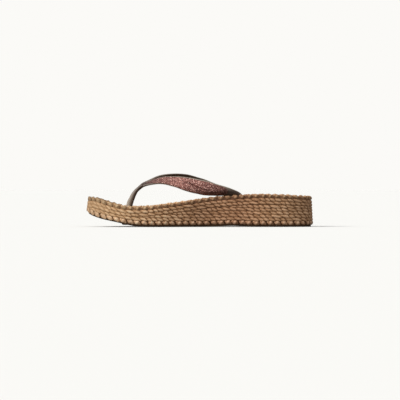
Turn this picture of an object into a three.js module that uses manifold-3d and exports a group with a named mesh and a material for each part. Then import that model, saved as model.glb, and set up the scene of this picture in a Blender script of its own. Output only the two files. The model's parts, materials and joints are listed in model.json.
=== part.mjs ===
// Platform wedge flip-flop for a right foot: a rope-sided rubber wedge, a footbed, and a
// moulded V strap with a glitter panel on each arm.
// Millimetres, +Z up. The toe points along -X and the inner (medial) side of the foot is -Y.
// The origin is on the floor, under the middle of the sole.
import * as THREE from 'three';
import Module from 'manifold-3d';

const wasm = await Module();
wasm.setup();

// Sole: plan and height
const soleLength = 254;
const ballWidth = 92;
const waistWidth = 66;
const heelWidth = 66;
const toeTipOffset = 10;
const heelHeight = 37;
const ballHeight = 23.4;
const toeHeight = 33.9;
const toeSpring = 16;
const archLift = 1;

// Sole: side wall, from the floor up
const treadHeight = 1.3;
const treadInset = 2.8;
const stitchPitch = 8;
const stitchHeight = 5;
const stitchRelief = 1.4;
const ropePitch = 3.55;
const ropeRelief = 0.9;
const rimRopes = 2;
const wallFlare = 0.05;
const rimWidth = 5;

// Footbed
const footbedDrop = 1.6;
const footbedCup = 2.2;
const insoleThickness = 3;

// Strap: where it leaves the sole, its rise, and its sections
const postSetback = 47.8;
const postOffset = 10;
const postLength = 6.8;
const postWidth = 4.6;
const medialEndSetback = 81.5;
const lateralEndSetback = 88;
const endInset = 6.6;
const endLength = 5.4;
const endWidth = 3.4;
const endDepth = 14;
const instepRise = 28;
const armWidth = 17;
const armThickness = 3;
const plugDiameter = 15;
const plugThickness = 3;
const plugRecess = 2;

// Glitter panels
const panelThickness = 0.6;
const panelBorder = 1.1;

// Gap between pieces that touch
const fitGap = 0.3;

// Plan outline. along runs from heel 0 to toe 1; medial and lateral are the half widths on
// each side as shares of the width that the row names.
const outlineRows = [
  { along: 0.025, width: heelWidth, medial: 0.29, lateral: 0.29 },
  { along: 0.085, width: heelWidth, medial: 0.435, lateral: 0.435 },
  { along: 0.18, width: heelWidth, medial: 0.49, lateral: 0.51 },
  { along: 0.32, width: waistWidth, medial: 0.455, lateral: 0.545 },
  { along: 0.46, width: waistWidth, medial: 0.44, lateral: 0.6 },
  { along: 0.59, width: ballWidth, medial: 0.395, lateral: 0.5 },
  { along: 0.69, width: ballWidth, medial: 0.47, lateral: 0.515 },
  { along: 0.79, width: ballWidth, medial: 0.475, lateral: 0.46 },
  { along: 0.88, width: ballWidth, medial: 0.44, lateral: 0.365 },
  { along: 0.95, width: ballWidth, medial: 0.36, lateral: 0.225 },
  { along: 0.987, width: ballWidth, medial: 0.255, lateral: 0.075 },
];

// Height of the rim over the floor, as shares of the height that the row names.
const rimRows = [
  { along: 0, over: heelHeight, height: 0.932 },
  { along: 0.05, over: heelHeight, height: 0.955 },
  { along: 0.13, over: heelHeight, height: 0.982 },
  { along: 0.235, over: heelHeight, height: 1 },
  { along: 0.3, over: heelHeight, height: 0.981 },
  { along: 0.42, over: heelHeight, height: 0.922 },
  { along: 0.5, over: heelHeight, height: 0.852 },
  { along: 0.58, over: heelHeight, height: 0.77 },
  { along: 0.66, over: ballHeight, height: 1.105 },
  { along: 0.74, over: ballHeight, height: 1.01 },
  { along: 0.79, over: ballHeight, height: 1 },
  { along: 0.83, over: ballHeight, height: 1.03 },
  { along: 0.88, over: toeHeight, height: 0.785 },
  { along: 0.93, over: toeHeight, height: 0.9 },
  { along: 0.97, over: toeHeight, height: 0.985 },
  { along: 1, over: toeHeight, height: 1 },
];

// Lift of the underside off the floor, as shares of the lift that the row names.
const liftRows = [
  { along: 0, over: archLift, height: 0 },
  { along: 0.24, over: archLift, height: 0 },
  { along: 0.36, over: archLift, height: 1 },
  { along: 0.48, over: archLift, height: 0 },
  { along: 0.72, over: toeSpring, height: 0 },
  { along: 0.77, over: toeSpring, height: 0.035 },
  { along: 0.81, over: toeSpring, height: 0.11 },
  { along: 0.85, over: toeSpring, height: 0.23 },
  { along: 0.886, over: toeSpring, height: 0.35 },
  { along: 0.92, over: toeSpring, height: 0.47 },
  { along: 0.96, over: toeSpring, height: 0.66 },
  { along: 0.985, over: toeSpring, height: 0.84 },
  { along: 1, over: toeSpring, height: 1 },
];

// Toe post, a row for each section from the sole up to the fork. back is the distance
// behind the hole as a share of postLength, up the height over the footbed as a share of
// instepRise; long and wide are shares of postLength and postWidth.
const postRows = [
  { back: 0, up: -0.3, long: 1, wide: 1 },
  { back: 0.02, up: 0.1, long: 1, wide: 1 },
  { back: 0.12, up: 0.25, long: 1, wide: 1 },
  { back: 0.3, up: 0.386, long: 0.92, wide: 1.02 },
  { back: 0.6, up: 0.557, long: 0.84, wide: 1.12 },
  { back: 1.13, up: 0.725, long: 0.66, wide: 1.4 },
  { back: 1.6, up: 0.836, long: 0.52, wide: 1.7 },
  { back: 2.2, up: 0.935, long: 0.44, wide: 1.9 },
];

// Arms, a row for each section from the fork to the end in the sole. reach is the share of
// the way back from the post to the end, out the share of the way out to the side, up the
// height over the footbed as a share of instepRise, wide and thick are shares of armWidth
// and armThickness, and lean turns the face from flat (0) to upright (90 degrees).
const medialRows = [
  { reach: 0.06, out: 0.02, up: 0.69, wide: 0.25, thick: 1.1, lean: 14 },
  { reach: 0.12, out: 0.06, up: 0.904, wide: 0.34, thick: 1.05, lean: 24 },
  { reach: 0.2, out: 0.17, up: 1.01, wide: 0.47, thick: 1, lean: 36 },
  { reach: 0.3, out: 0.37, up: 1.025, wide: 0.635, thick: 1, lean: 47 },
  { reach: 0.42, out: 0.66, up: 0.9, wide: 0.84, thick: 1, lean: 58 },
  { reach: 0.54, out: 0.92, up: 0.707, wide: 0.97, thick: 1, lean: 68 },
  { reach: 0.66, out: 1.08, up: 0.49, wide: 0.96, thick: 1, lean: 77 },
  { reach: 0.78, out: 1.12, up: 0.31, wide: 0.76, thick: 1, lean: 84 },
  { reach: 0.89, out: 1.07, up: 0.175, wide: 0.53, thick: 1.05, lean: 88 },
];
const lateralRows = [
  { reach: 0.06, out: 0.01, up: 0.69, wide: 0.25, thick: 1.1, lean: 10 },
  { reach: 0.12, out: 0.035, up: 0.93, wide: 0.34, thick: 1.05, lean: 15 },
  { reach: 0.2, out: 0.12, up: 1.055, wide: 0.49, thick: 1, lean: 24 },
  { reach: 0.3, out: 0.28, up: 1.135, wide: 0.65, thick: 1, lean: 32 },
  { reach: 0.42, out: 0.5, up: 1.07, wide: 0.84, thick: 1, lean: 44 },
  { reach: 0.54, out: 0.71, up: 0.9, wide: 0.97, thick: 1, lean: 57 },
  { reach: 0.66, out: 0.87, up: 0.67, wide: 0.96, thick: 1, lean: 69 },
  { reach: 0.78, out: 0.96, up: 0.46, wide: 0.76, thick: 1, lean: 79 },
  { reach: 0.89, out: 1, up: 0.23, wide: 0.53, thick: 1.05, lean: 87 },
];

// Where a panel starts and ends, and how far in from each end it comes to its full width,
// as shares of the way along the arm's rows.
const panelSpan = { start: 0.09, end: 0.72, point: 0.2, round: 0.045 };

// Steps of the skins
const acrossSteps = 6;
const postSteps = 12;
const armSteps = 30;
const sectionSteps = 12;
const panelStrips = 4;
const discSteps = 20;

// Reads one column of a table with a smooth curve that never overshoots its rows.
function readRows(rows, at, value) {
  const last = rows.length - 1;
  const chord = (i) => (value(rows[i + 1]) - value(rows[i])) / (rows[i + 1].along - rows[i].along);
  const slope = (i) => {
    const before = chord(Math.max(i - 1, 0));
    const after = chord(Math.min(i, last - 1));
    return before * after > 0 ? (2 * before * after) / (before + after) : 0;
  };
  const inside = THREE.MathUtils.clamp(at, rows[0].along, rows[last].along);
  let row = 0;
  while (row < last - 1 && inside > rows[row + 1].along) row += 1;
  const span = rows[row + 1].along - rows[row].along;
  const t = (inside - rows[row].along) / span;
  const startPull = t * (1 - t) * (1 - t) * span;
  const endPull = t * t * (t - 1) * span;
  const blend = t * t * (3 - 2 * t);
  return value(rows[row]) * (1 - blend) + value(rows[row + 1]) * blend
    + slope(row) * startPull + slope(row + 1) * endPull;
}

// Rows without a column of their own for it are spaced evenly along.
const spaced = (rows) => rows.map((row, k) => ({ ...row, along: k / (rows.length - 1) }));

// The outline is one closed curve: heel, outer side, toe, inner side. Its places run from
// 0 at the heel by 0.5 at the toe tip to 1, at an even pace along each side.
const xAlong = (along) => (0.5 - along) * soleLength;
const alongAt = (x) => 0.5 - x / soleLength;
const sidePoint = (row, half) => new THREE.Vector3(xAlong(row.along), row.width * half, 0);
const outlinePoints = [
  new THREE.Vector3(xAlong(0), 0, 0),
  ...outlineRows.map((row) => sidePoint(row, row.lateral)),
  new THREE.Vector3(xAlong(1), -toeTipOffset, 0),
  ...outlineRows.map((row) => sidePoint(row, -row.medial)).reverse(),
];
const outlineDivisions = 1200;
const outlineMiddle = new THREE.Box3()
  .setFromPoints(new THREE.CatmullRomCurve3(outlinePoints, true).getPoints(outlineDivisions))
  .getCenter(new THREE.Vector3());
outlinePoints.forEach((point) => point.sub(outlineMiddle));
const outlineCurve = new THREE.CatmullRomCurve3(outlinePoints, true);
outlineCurve.arcLengthDivisions = outlineDivisions;
const outlineLengths = outlineCurve.getLengths();
const perimeter = outlineLengths[outlineDivisions];
const toeShare = outlineLengths[outlineDivisions / 2] / perimeter;

function outlineAt(place) {
  const share = place <= 0.5 ? place * 2 * toeShare : 1 - (1 - place) * 2 * (1 - toeShare);
  const point = outlineCurve.getPointAt(THREE.MathUtils.clamp(share, 0, 1));
  const tangent = outlineCurve.getTangentAt(THREE.MathUtils.clamp(share, 0, 1));
  return { point, outward: new THREE.Vector3(tangent.y, -tangent.x, 0) };
}

const rimHeight = (x) => readRows(rimRows, alongAt(x), (row) => row.over * row.height);
const undersideLift = (x) => readRows(liftRows, alongAt(x), (row) => row.over * row.height);
const footbedHeight = (x) => rimHeight(x) - footbedDrop;
const footbedMiddle = (x) => footbedHeight(x) - footbedCup;

// A point of the side wall: out from the outline, at a height over the underside.
function wallPoint(place, out, up) {
  const { point, outward } = outlineAt(place);
  const lift = undersideLift(point.x);
  return point.addScaledVector(outward, out - wallFlare * up).setZ(lift + up);
}

// The same, measured down from the rim's crest.
function rimPoint(place, out, down) {
  const { x } = outlineAt(place).point;
  return wallPoint(place, out, rimHeight(x) - undersideLift(x) - down);
}

// A closed skin of triangles, made of rings that are zipped together.
class Skin {
  constructor() {
    this.points = [];
    this.faces = [];
  }

  ring(places, pointAt) {
    return places.map((place) => {
      this.points.push(pointAt(place));
      return { place, index: this.points.length - 1 };
    });
  }

  // Joins two rings round the same axis; they may have different numbers of points.
  zip(lower, upper) {
    let i = 0;
    let j = 0;
    const placeOf = (ring, k) => (k < ring.length ? ring[k].place : 1 + ring[0].place);
    while (i < lower.length || j < upper.length) {
      const here = lower[i % lower.length].index;
      const above = upper[j % upper.length].index;
      const stepLower = j >= upper.length
        || (i < lower.length && placeOf(lower, i + 1) <= placeOf(upper, j + 1));
      if (stepLower) {
        i += 1;
        this.faces.push([here, lower[i % lower.length].index, above]);
      } else {
        j += 1;
        this.faces.push([here, upper[j % upper.length].index, above]);
      }
    }
  }

  // Closes a ring with rungs from its outer side straight across to its inner side.
  ladder(ring, facesUp) {
    const count = ring.length;
    const face = (a, b, c) => {
      const corners = [ring[a].index, ring[b].index, ring[c % count].index];
      this.faces.push(facesUp ? corners : corners.reverse());
    };
    for (let rung = 0; rung < count / 2; rung += 1) {
      if (rung + 1 < count / 2) face(rung, rung + 1, count - rung - 1);
      if (rung > 0) face(rung, count - rung - 1, count - rung);
    }
  }

  // Closes a ring with a fan to its middle.
  fan(ring, facesUp) {
    const middle = this.points.length;
    const sum = new THREE.Vector3();
    ring.forEach((corner) => sum.add(this.points[corner.index]));
    this.points.push(sum.divideScalar(ring.length));
    ring.forEach((corner, k) => {
      const next = ring[(k + 1) % ring.length].index;
      this.faces.push(facesUp ? [corner.index, next, middle] : [next, corner.index, middle]);
    });
  }

  // Zips rings in their order from the bottom up, with the ends closed across.
  stack(rings, closeWith) {
    rings.slice(1).forEach((ring, k) => this.zip(rings[k], ring));
    this[closeWith](rings[0], false);
    this[closeWith](rings[rings.length - 1], true);
    return this.solid();
  }

  solid() {
    const vertProperties = new Float32Array(this.points.flatMap((point) => point.toArray()));
    const triVerts = new Uint32Array(this.faces.flat());
    return new wasm.Manifold(new wasm.Mesh({ numProp: 3, vertProperties, triVerts }));
  }
}

const evenly = (count) => Array.from({ length: count }, (_, k) => k / count);
const stitches = 2 * Math.round(perimeter / stitchPitch / 2);
const wallPlaces = evenly(stitches);

// Each stitch is full from shoulder to shoulder, and the bead is nipped in between two.
const stitchShoulder = 0.2;
const stitchPlaces = wallPlaces.flatMap((place) => [
  place,
  place + stitchShoulder / stitches,
  place + (1 - stitchShoulder) / stitches,
]);
const nipAt = (place) => {
  const turn = (place * stitches) % 1;
  return turn < stitchShoulder / 2 || turn > 1 - stitchShoulder / 2 ? stitchRelief : 0;
};

// A rope row is full between its two shoulders, given as shares of its pitch.
const ropeShoulders = [0.25, 0.75];

// Lower part of the sole: tread, bead of stitches, and rope rows laid over the underside.
const highestWall = Math.max(heelHeight, toeHeight, ballHeight) + ropePitch;
function lowerSole() {
  const skin = new Skin();
  const plain = (out, up) => skin.ring(wallPlaces, (place) => wallPoint(place, out, up));
  const nipped = (out, up) => skin.ring(stitchPlaces, (place) => wallPoint(place, out - nipAt(place), up));
  const beadTop = treadHeight + stitchHeight;
  const rings = [
    plain(-treadInset, 0),
    plain(-treadInset, treadHeight),
    nipped(-ropeRelief, treadHeight),
    nipped(0, treadHeight + stitchHeight * ropeShoulders[0]),
    nipped(0, treadHeight + stitchHeight * ropeShoulders[1]),
    plain(-ropeRelief, beadTop),
  ];
  const rows = Math.ceil((highestWall - beadTop) / ropePitch);
  for (let row = 0; row < rows; row += 1) {
    ropeShoulders.forEach((share) => rings.push(plain(0, beadTop + (row + share) * ropePitch)));
    rings.push(plain(-ropeRelief, beadTop + (row + 1) * ropePitch));
  }
  return skin.stack(rings, 'ladder');
}

// Rim: rope rows laid along the crest, the upper bead of stitches, and the insole's recess.
// A key under it, set in from the wall, reaches down into the lower part.
const rimDepth = stitchHeight + rimRopes * ropePitch;
const recessDepth = footbedDrop + footbedCup + insoleThickness + fitGap;
const crestInset = 1.8;
const keySize = 3;
function rimBand() {
  const skin = new Skin();
  const plain = (out, down) => skin.ring(wallPlaces, (place) => rimPoint(place, out, down));
  const narrowed = (down) => skin.ring(stitchPlaces, (place) => rimPoint(place, -nipAt(place), down));
  const rings = [
    plain(-ropeRelief - keySize, rimDepth + keySize),
    plain(-ropeRelief - keySize, rimDepth),
    plain(-ropeRelief, rimDepth),
  ];
  for (let row = rimRopes; row > 0; row -= 1) {
    const bottom = stitchHeight + row * ropePitch;
    ropeShoulders.forEach((share) => rings.push(plain(0, bottom - share * ropePitch)));
    rings.push(plain(-ropeRelief, bottom - ropePitch));
  }
  rings.push(narrowed(stitchHeight * ropeShoulders[1]));
  rings.push(narrowed(stitchHeight * ropeShoulders[0]));
  rings.push(skin.ring(stitchPlaces, (place) => rimPoint(place, -crestInset, nipAt(place))));
  rings.push(plain(-rimWidth, footbedDrop / 2));
  rings.push(plain(-rimWidth, recessDepth));
  return skin.stack(rings, 'ladder');
}

// What the rim takes off the lower part: everything over the rim's underside.
function overRim() {
  const skin = new Skin();
  const plain = (out, down) => skin.ring(wallPlaces, (place) => rimPoint(place, out, down));
  return skin.stack([
    plain(-ropeRelief - keySize, rimDepth),
    plain(-ropeRelief, rimDepth),
    plain(rimWidth, rimDepth),
    plain(rimWidth, -highestWall),
  ], 'ladder');
}

// Footbed: flat from side to side underneath, and cupped on top.
const cupSquareness = 2.5;
function insoleSolid() {
  const skin = new Skin();
  const edge = (down) => skin.ring(wallPlaces, (place) => rimPoint(place, -rimWidth - fitGap, down));
  const under = edge(recessDepth - fitGap);
  const over = edge(footbedDrop);
  skin.ladder(under, false);
  skin.zip(under, over);
  const half = over.length / 2;
  const rungAt = (rung) => {
    const outer = over[rung].index;
    const inner = over[over.length - rung].index;
    const endwise = Math.sqrt(Math.sin((Math.PI * rung) / half));
    const between = Array.from({ length: acrossSteps - 1 }, (_, k) => {
      const share = (k + 1) / acrossSteps;
      const sideways = 1 - Math.abs(2 * share - 1) ** cupSquareness;
      const point = skin.points[outer].clone().lerp(skin.points[inner], share);
      return skin.points.push(point.setZ(point.z - footbedCup * sideways * endwise)) - 1;
    });
    return [outer, ...between, inner];
  };
  const rungs = Array.from({ length: half - 1 }, (_, k) => rungAt(k + 1));
  const lastRung = rungs[half - 2];
  for (let step = 0; step < acrossSteps; step += 1) {
    skin.faces.push([over[0].index, rungs[0][step], rungs[0][step + 1]]);
    rungs.slice(1).forEach((next, k) => {
      skin.faces.push([rungs[k][step], next[step], next[step + 1]]);
      skin.faces.push([rungs[k][step], next[step + 1], rungs[k][step + 1]]);
    });
    skin.faces.push([lastRung[step], over[half].index, lastRung[step + 1]]);
  }
  return skin.solid();
}

// The strap's section is a flattened oval: a superellipse with these two powers.
const edgePower = 0.85;
const facePower = 0.6;
const flatten = (value, power) => Math.sign(value) * Math.abs(value) ** power;
const faceHeight = (across) => (1 - Math.abs(across) ** (2 / edgePower)) ** (facePower / 2);

// Carries the section through stations, each with a centre, two directions and half sizes.
function sweep(stations, grow) {
  const skin = new Skin();
  const rings = stations.map((station) => skin.ring(evenly(sectionSteps), (place) => {
    const across = flatten(Math.cos(place * 2 * Math.PI), edgePower);
    const through = flatten(Math.sin(place * 2 * Math.PI), facePower);
    return station.centre.clone()
      .addScaledVector(station.wide, across * (station.halfWidth + grow))
      .addScaledVector(station.face, through * (station.halfThick + grow));
  }));
  return skin.stack(rings, 'fan');
}

const postX = xAlong(1) - outlineMiddle.x + postSetback;
const postY = -postOffset - outlineMiddle.y;
const postFoot = footbedMiddle(postX);

// Toe post: its long side lies along the foot at the sole, and it widens across to the fork.
function postStations() {
  const rows = spaced(postRows);
  const curve = new THREE.CatmullRomCurve3(rows.map((row) => new THREE.Vector3(
    postX + row.back * postLength,
    postY,
    postFoot + row.up * instepRise,
  )));
  const stationAt = (share) => {
    const travel = curve.getTangent(share);
    const wide = new THREE.Vector3(0, 1, 0).cross(travel).normalize();
    return {
      centre: curve.getPoint(share),
      wide,
      face: travel.clone().cross(wide),
      halfWidth: (readRows(rows, share, (row) => row.long) * postLength) / 2,
      halfThick: (readRows(rows, share, (row) => row.wide) * postWidth) / 2,
    };
  };
  const foot = { ...stationAt(0), centre: new THREE.Vector3(postX, postY, plugRecess + plugThickness / 2) };
  return [foot, ...Array.from({ length: postSteps + 1 }, (_, k) => stationAt(k / postSteps))];
}

// The place on one side of the outline that lies at x.
function placeAt(x, lateral) {
  let [nearHeel, nearToe] = lateral ? [0, 0.5] : [1, 0.5];
  for (let halving = 0; halving < 40; halving += 1) {
    const middle = (nearHeel + nearToe) / 2;
    if (outlineAt(middle).point.x > x) nearHeel = middle;
    else nearToe = middle;
  }
  return nearHeel;
}

// An arm: its rows turned into points on one curve, which bends down into the sole at its end.
// The returned function reads the arm at a share of the way along.
function makeArm(rows, setback, lateral) {
  const endX = xAlong(0) - outlineMiddle.x - setback;
  const { point, outward } = outlineAt(placeAt(endX, lateral));
  const end = point.addScaledVector(outward, -endInset);
  const footAt = (x) => footbedMiddle(x) + (footbedCup * (x - postX)) / (end.x - postX);
  const centres = rows.map((row) => {
    const x = THREE.MathUtils.lerp(postX, end.x, row.reach);
    const y = THREE.MathUtils.lerp(postY, end.y, row.out);
    return new THREE.Vector3(x, y, footAt(x) + row.up * instepRise);
  });
  centres.push(new THREE.Vector3(end.x - endLength / 3, end.y, footAt(end.x) + endLength / 10));
  centres.push(new THREE.Vector3(end.x, end.y, footAt(end.x) - endLength));
  centres.push(new THREE.Vector3(end.x, end.y, footAt(end.x) - endDepth));
  const endRow = { wide: endLength / armWidth, thick: endWidth / armThickness, lean: 90 };
  const allRows = spaced([...rows, endRow, endRow, endRow]);
  const curve = new THREE.CatmullRomCurve3(centres, false, 'centripetal');
  const side = lateral ? 1 : -1;
  return (share) => {
    const travel = curve.getTangent(share);
    const lean = THREE.MathUtils.degToRad(readRows(allRows, share, (row) => row.lean));
    const level = new THREE.Vector3(0, side, 0).addScaledVector(travel, -travel.y * side).normalize();
    const upright = new THREE.Vector3().crossVectors(travel, level).multiplyScalar(side);
    const face = upright.multiplyScalar(Math.cos(lean)).addScaledVector(level, Math.sin(lean));
    return {
      centre: curve.getPoint(share),
      wide: new THREE.Vector3().crossVectors(face, travel),
      face,
      halfWidth: (readRows(allRows, share, (row) => row.wide) * armWidth) / 2,
      halfThick: (readRows(allRows, share, (row) => row.thick) * armThickness) / 2,
    };
  };
}

const medialArm = makeArm(medialRows, medialEndSetback, false);
const lateralArm = makeArm(lateralRows, lateralEndSetback, true);
const armShares = Array.from({ length: armSteps + 1 }, (_, k) => k / armSteps);

// A round disc on the toe post's axis, from low to high.
function discUnderPost(diameter, low, high) {
  const skin = new Skin();
  const ringAt = (z) => skin.ring(evenly(discSteps), (place) => new THREE.Vector3(
    postX + (Math.cos(place * 2 * Math.PI) * diameter) / 2,
    postY + (Math.sin(place * 2 * Math.PI) * diameter) / 2,
    z,
  ));
  return skin.stack([ringAt(low), ringAt(high)], 'fan');
}

// Post and arms in one, or with a grow of fitGap the room that they keep from other pieces.
function strapBody(grow) {
  return sweep(postStations(), grow)
    .add(sweep(armShares.map(medialArm), grow))
    .add(sweep(armShares.map(lateralArm), grow));
}
const plugTop = plugRecess + plugThickness;
const strap = strapBody(0).add(discUnderPost(plugDiameter, plugRecess, plugTop));
const strapClearance = strapBody(fitGap);
const strapRoom = strapClearance
  .add(discUnderPost(plugDiameter + 2 * fitGap, -toeSpring, plugTop + fitGap));

// A panel lies over the arm's outer face, cut to fit by the strap's own skin. It narrows to a
// point at the fork and is rounded at its other end.
function panelSolid(arm) {
  const { start, end, point, round } = panelSpan;
  const shares = armShares.filter((share) => share > start && share < end);
  const extra = [start, end - round / 2, end - round / 8, end];
  const skin = new Skin();
  const rings = [...shares, ...extra].sort((a, b) => a - b).map((share) => {
    const station = arm(share);
    const fromStart = Math.min((share - start) / point, 1);
    const fromEnd = Math.min((end - share) / round, 1);
    const pointed = Math.sqrt(fromStart) * (station.halfWidth - panelBorder);
    const rounded = Math.sqrt(1 - (1 - fromEnd) ** 2);
    const half = Math.max(pointed * rounded, panelThickness);
    const corner = (strip, lift) => {
      const across = half * (1 - (2 * strip) / panelStrips);
      return station.centre.clone()
        .addScaledVector(station.wide, across)
        .addScaledVector(station.face, faceHeight(across / station.halfWidth) * station.halfThick + lift);
    };
    return skin.ring(evenly(2 * panelStrips + 2), (place) => {
      const step = Math.round(place * (2 * panelStrips + 2));
      if (step <= panelStrips) return corner(step, fitGap + panelThickness);
      return corner(2 * panelStrips + 1 - step, 0);
    });
  });
  return skin.stack(rings, 'fan').subtract(strapClearance);
}

const sole = lowerSole().subtract(overRim()).add(rimBand()).subtract(strapRoom);
const insole = insoleSolid().subtract(strapRoom);

function toMesh(name, solid, finish) {
  const { vertProperties, triVerts } = solid.getMesh();
  const geometry = new THREE.BufferGeometry();
  geometry.setAttribute('position', new THREE.BufferAttribute(vertProperties, 3));
  geometry.setIndex(new THREE.BufferAttribute(triVerts, 1));
  geometry.computeVertexNormals();
  const mesh = new THREE.Mesh(geometry, new THREE.MeshStandardMaterial(finish));
  mesh.name = name;
  return mesh;
}

const rope = { color: 0x9a7a5a, roughness: 0.8, metalness: 0 };
const footbed = { color: 0x8c6d50, roughness: 0.75, metalness: 0 };
const taupe = { color: 0x8d7d68, roughness: 0.6, metalness: 0 };
const glitter = { color: 0x8f6258, roughness: 0.4, metalness: 0.4 };

const flipFlop = new THREE.Group();
flipFlop.add(toMesh('sole', sole, rope));
flipFlop.add(toMesh('insole', insole, footbed));
flipFlop.add(toMesh('strap', strap, taupe));
flipFlop.add(toMesh('panel_medial', panelSolid(medialArm), glitter));
flipFlop.add(toMesh('panel_lateral', panelSolid(lateralArm), glitter));

export default flipFlop;
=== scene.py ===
import json

import bpy
import numpy as np
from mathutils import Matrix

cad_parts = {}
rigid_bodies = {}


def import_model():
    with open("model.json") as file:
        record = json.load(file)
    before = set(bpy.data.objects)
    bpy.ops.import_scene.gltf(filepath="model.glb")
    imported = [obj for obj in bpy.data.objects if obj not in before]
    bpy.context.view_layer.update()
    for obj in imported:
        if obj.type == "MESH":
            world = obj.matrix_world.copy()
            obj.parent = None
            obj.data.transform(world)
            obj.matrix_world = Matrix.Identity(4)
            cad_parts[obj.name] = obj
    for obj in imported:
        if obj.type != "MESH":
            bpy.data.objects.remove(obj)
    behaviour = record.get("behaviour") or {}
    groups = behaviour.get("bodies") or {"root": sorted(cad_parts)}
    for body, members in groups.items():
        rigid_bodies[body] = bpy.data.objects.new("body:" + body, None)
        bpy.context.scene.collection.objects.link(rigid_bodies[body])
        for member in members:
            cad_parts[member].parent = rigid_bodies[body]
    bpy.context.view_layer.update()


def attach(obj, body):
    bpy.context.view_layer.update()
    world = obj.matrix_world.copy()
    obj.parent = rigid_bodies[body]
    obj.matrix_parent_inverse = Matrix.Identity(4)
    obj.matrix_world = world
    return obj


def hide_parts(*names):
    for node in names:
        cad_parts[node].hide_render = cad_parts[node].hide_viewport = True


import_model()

# Tread. The thin rubber sheet that the wedge stands on, set in from the side wall, coloured darker than the
# wedge's rubber as painted shade.
# It is moulded with fine ribs across the foot, and has a round recess under the toe post's plug.
# All lengths in this file are millimetres; put_mesh turns them to the frame's metres.
MM = 0.001
SOLE_LENGTH = 254
BALL_WIDTH = 92
WAIST_WIDTH = 66
HEEL_WIDTH = 66
TOE_TIP_OFFSET = 10
HEEL_HEIGHT = 37
BALL_HEIGHT = 23.4
TOE_HEIGHT = 33.9
TOE_SPRING = 16
ARCH_LIFT = 1
WALL_FLARE = 0.05
TOE_FLARE = 0.06
TOE_FLARE_SHARE = 0.06
TREAD_INSET = 2.8
TREAD_THICKNESS = 4
TREAD_RIB = 3.2
TREAD_RELIEF = 0.5
TOE_TREAD_RISE = 0.9
TREAD_RUNGS = 400
TREAD_STEPS = 110
TREAD_EDGE_STEPS = 6
RIB_SWEEP = 0.35
TOE_RISE_LIFT = 4
PLUG_CLEARANCE = 0.5
PLAN_STEPS = 1200
PLUG_DIAMETER = 15
PLUG_RECESS = 2
POST_SETBACK = 47.8
POST_OFFSET = 10

# Plan of the sole: along from the heel 0 to the toe 1, the inner half width, the outer one.
PLAN = np.array([
    (0.025, 0.29 * HEEL_WIDTH, 0.29 * HEEL_WIDTH),
    (0.085, 0.435 * HEEL_WIDTH, 0.435 * HEEL_WIDTH),
    (0.18, 0.49 * HEEL_WIDTH, 0.51 * HEEL_WIDTH),
    (0.32, 0.455 * WAIST_WIDTH, 0.545 * WAIST_WIDTH),
    (0.46, 0.44 * WAIST_WIDTH, 0.6 * WAIST_WIDTH),
    (0.59, 0.395 * BALL_WIDTH, 0.5 * BALL_WIDTH),
    (0.69, 0.47 * BALL_WIDTH, 0.515 * BALL_WIDTH),
    (0.79, 0.475 * BALL_WIDTH, 0.46 * BALL_WIDTH),
    (0.88, 0.44 * BALL_WIDTH, 0.365 * BALL_WIDTH),
    (0.95, 0.36 * BALL_WIDTH, 0.225 * BALL_WIDTH),
    (0.987, 0.255 * BALL_WIDTH, 0.075 * BALL_WIDTH),
])

# Height of the rim over the floor, and lift of the underside: along, height.
RIM = np.array([
    (0, 0.932 * HEEL_HEIGHT), (0.05, 0.955 * HEEL_HEIGHT), (0.13, 0.982 * HEEL_HEIGHT),
    (0.235, HEEL_HEIGHT), (0.3, 0.981 * HEEL_HEIGHT), (0.42, 0.922 * HEEL_HEIGHT),
    (0.5, 0.852 * HEEL_HEIGHT), (0.58, 0.77 * HEEL_HEIGHT), (0.66, 1.105 * BALL_HEIGHT),
    (0.74, 1.01 * BALL_HEIGHT), (0.79, BALL_HEIGHT), (0.83, 1.03 * BALL_HEIGHT),
    (0.88, 0.785 * TOE_HEIGHT), (0.93, 0.9 * TOE_HEIGHT), (0.97, 0.985 * TOE_HEIGHT), (1, TOE_HEIGHT),
])
LIFT = np.array([
    (0, 0), (0.24, 0), (0.36, ARCH_LIFT), (0.48, 0), (0.72, 0), (0.77, 0.035 * TOE_SPRING),
    (0.81, 0.11 * TOE_SPRING), (0.85, 0.23 * TOE_SPRING), (0.886, 0.35 * TOE_SPRING),
    (0.92, 0.47 * TOE_SPRING), (0.96, 0.66 * TOE_SPRING), (0.985, 0.84 * TOE_SPRING), (1, TOE_SPRING),
])


def read_rows(rows, at, column=1):
    """Smooth curve through one column of a table. The slope at a row is the harmonic mean of the
    chords beside it, and none at a turn, so the curve never overshoots its rows."""
    x, y = rows[:, 0], rows[:, column]
    chord = np.diff(y) / np.diff(x)
    before, after = np.r_[chord[0], chord], np.r_[chord, chord[-1]]
    rising = before * after > 0
    slope = np.where(rising, 2 * before * after / np.where(rising, before + after, 1), 0)
    at = np.clip(at, x[0], x[-1])
    k = np.clip(np.searchsorted(x, at, side="right") - 1, 0, len(x) - 2)
    span = x[k + 1] - x[k]
    t = (at - x[k]) / span
    blend = t * t * (3 - 2 * t)
    pull = slope[k] * t * (1 - t) ** 2 - slope[k + 1] * t * t * (1 - t)
    return y[k] * (1 - blend) + y[k + 1] * blend + span * pull


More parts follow.
